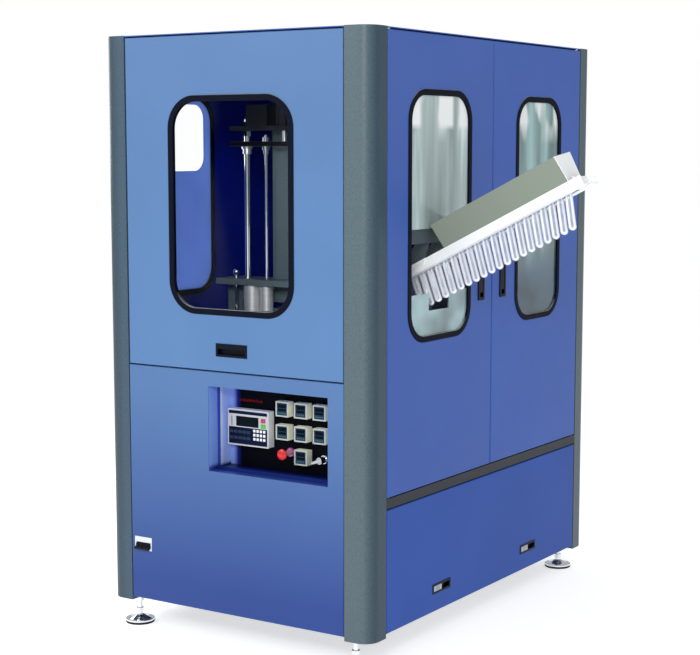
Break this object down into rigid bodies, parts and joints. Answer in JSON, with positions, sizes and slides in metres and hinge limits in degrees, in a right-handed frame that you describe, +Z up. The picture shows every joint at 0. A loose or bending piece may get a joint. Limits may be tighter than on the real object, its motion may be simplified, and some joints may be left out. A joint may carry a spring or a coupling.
{
  "type": "blow moulding machine",
  "caption": "Cabinet blow moulding machine for plastic bottles, with windowed doors, control recess, sloping preform chute, stretch station, moulds and oven.",
  "frame": {"origin": "on the floor, under the middle of the whole machine's box, chute included", "axes": "+Z up, -Y towards the control front, +X towards the side with the two doors and the chute"},
  "size_m": [1.554, 1.5432, 1.954],
  "materials": {
    "blue_paint": "satin powder coat",
    "navy_paint": "satin",
    "light_blue_paint": "satin",
    "post_paint": "hammered, satin",
    "dark_frame": "satin",
    "machine_green": "satin",
    "cover_paint": "satin",
    "white_rail": "gloss",
    "black_rubber": "matt",
    "clear_pane": "gloss",
    "clear_plastic": "clear gloss",
    "quartz": "gloss",
    "black_plastic": "satin",
    "plate_black": "satin",
    "case_grey": "satin",
    "case_cream": "satin",
    "grey_slider": "satin",
    "red_plastic": "gloss",
    "chrome": "polished",
    "steel": "ground",
    "aluminium": "machined"
  },
  "bodies": {
    "cabinet": {"post_front_left": "post_paint", "post_front_right": "post_paint", "post_rear_left": "post_paint", "post_rear_right": "post_paint", "base_frame": "dark_frame", "middle_frame": "dark_frame", "roof_panel": "blue_paint", "left_panel": "blue_paint", "left_window_seal": "black_rubber", "left_infill_panel": "light_blue_paint", "rear_panel": "blue_paint", "lower_front_panel": "blue_paint", "control_recess": "blue_paint", "control_plate": "plate_black", "operator_terminal": "case_grey", "temperature_controllers": "case_cream", "button_bases": "chrome", "breaker_body": "case_grey", "deck_plate": "steel", "foot_studs": "chrome", "foot_pads": "black_rubber", "station_frame": "machine_green", "nozzle_plate": "machine_green", "blow_nozzles": "aluminium", "stretch_head": "dark_frame", "guide_rods": "chrome", "end_platens": "machine_green", "tie_bars": "chrome", "oven_housing": "steel", "heater_lamps": "quartz", "hinge_pins": "steel"},
    "front_door": {"front_door": "blue_paint", "front_window_seal": "black_rubber", "front_pane": "clear_pane", "front_pull": "black_plastic"},
    "near_door": {"near_door": "blue_paint", "near_window_seal": "black_rubber", "near_panes": "clear_pane", "near_handle_frame": "black_plastic", "chute_bracket": "machine_green", "chute_rails": "white_rail", "chute_cover": "cover_paint", "preforms": "clear_plastic"},
    "near_handle": {"near_handle": "black_plastic"},
    "far_door": {"far_door": "blue_paint", "far_window_seal": "black_rubber", "far_pane": "clear_pane", "far_handle_frame": "black_plastic"},
    "far_handle": {"far_handle": "black_plastic"},
    "service_panel": {"service_panel": "blue_paint", "latch_frames": "black_plastic"},
    "near_latch": {"near_latch_slider": "grey_slider"},
    "far_latch": {"far_latch_slider": "grey_slider"},
    "stop_button": {"stop_button_head": "red_plastic"},
    "selector": {"selector_knob": "chrome"},
    "breaker": {"breaker_levers": "black_plastic"},
    "carriage": {"carriage": "dark_frame", "stretch_rods": "chrome"},
    "mould_front": {"mould_front": "aluminium"},
    "mould_rear": {"mould_rear": "aluminium"}
  },
  "joints": [
    {"name": "front_door_hinge", "type": "hinge", "parent": "cabinet", "child": "front_door", "pos_m": [-0.256, -0.753, 1.931], "axis": [-1, 0, 0], "range_deg": [0, 85]},
    {"name": "near_door_hinge", "type": "hinge", "parent": "cabinet", "child": "near_door", "pos_m": [0.25, -0.6526, 1.2], "axis": [0, 0, -1], "range_deg": [0, 100]},
    {"name": "near_handle_pivot", "type": "hinge", "parent": "near_door", "child": "near_handle", "pos_m": [0.257, -0.078, 1.213], "axis": [0, -1, 0], "range_deg": [0, 50]},
    {"name": "far_door_hinge", "type": "hinge", "parent": "cabinet", "child": "far_door", "pos_m": [0.25, 0.6526, 1.2], "axis": [0, 0, 1], "range_deg": [0, 100]},
    {"name": "far_handle_pivot", "type": "hinge", "parent": "far_door", "child": "far_handle", "pos_m": [0.257, 0.074, 1.213], "axis": [0, -1, 0], "range_deg": [0, 50]},
    {"name": "service_panel_hinge", "type": "hinge", "parent": "cabinet", "child": "service_panel", "pos_m": [0.25, 0, 0.4758], "axis": [0, -1, 0], "range_deg": [0, 80]},
    {"name": "near_latch_slide", "type": "slide", "parent": "service_panel", "child": "near_latch", "axis": [0, 1, 0], "range_m": [0, 0.05]},
    {"name": "far_latch_slide", "type": "slide", "parent": "service_panel", "child": "far_latch", "axis": [0, 1, 0], "range_m": [0, 0.05]},
    {"name": "stop_button_push", "type": "slide", "parent": "cabinet", "child": "stop_button", "axis": [0, 1, 0], "range_m": [0, 0.005], "stiffness_N_per_m": 800},
    {"name": "selector_turn", "type": "hinge", "parent": "cabinet", "child": "selector", "pos_m": [0.027, -0.765, 0.624], "axis": [0, 1, 0], "range_deg": [-45, 45]},
    {"name": "breaker_toggle", "type": "hinge", "parent": "cabinet", "child": "breaker", "pos_m": [-0.63, -0.759, 0.282], "axis": [-1, 0, 0], "range_deg": [0, 70]},
    {"name": "carriage_slide", "type": "slide", "parent": "cabinet", "child": "carriage", "axis": [0, 0, -1], "range_m": [0, 0.22]},
    {"name": "mould_front_slide", "type": "slide", "parent": "cabinet", "child": "mould_front", "axis": [0, 1, 0], "range_m": [0, 0.05]},
    {"name": "mould_rear_slide", "type": "slide", "parent": "cabinet", "child": "mould_rear", "axis": [0, -1, 0], "range_m": [0, 0.05]}
  ],
  "couplings": [
    {"joint": "mould_rear_slide", "follows": "mould_front_slide", "ratio": 1}
  ]
}
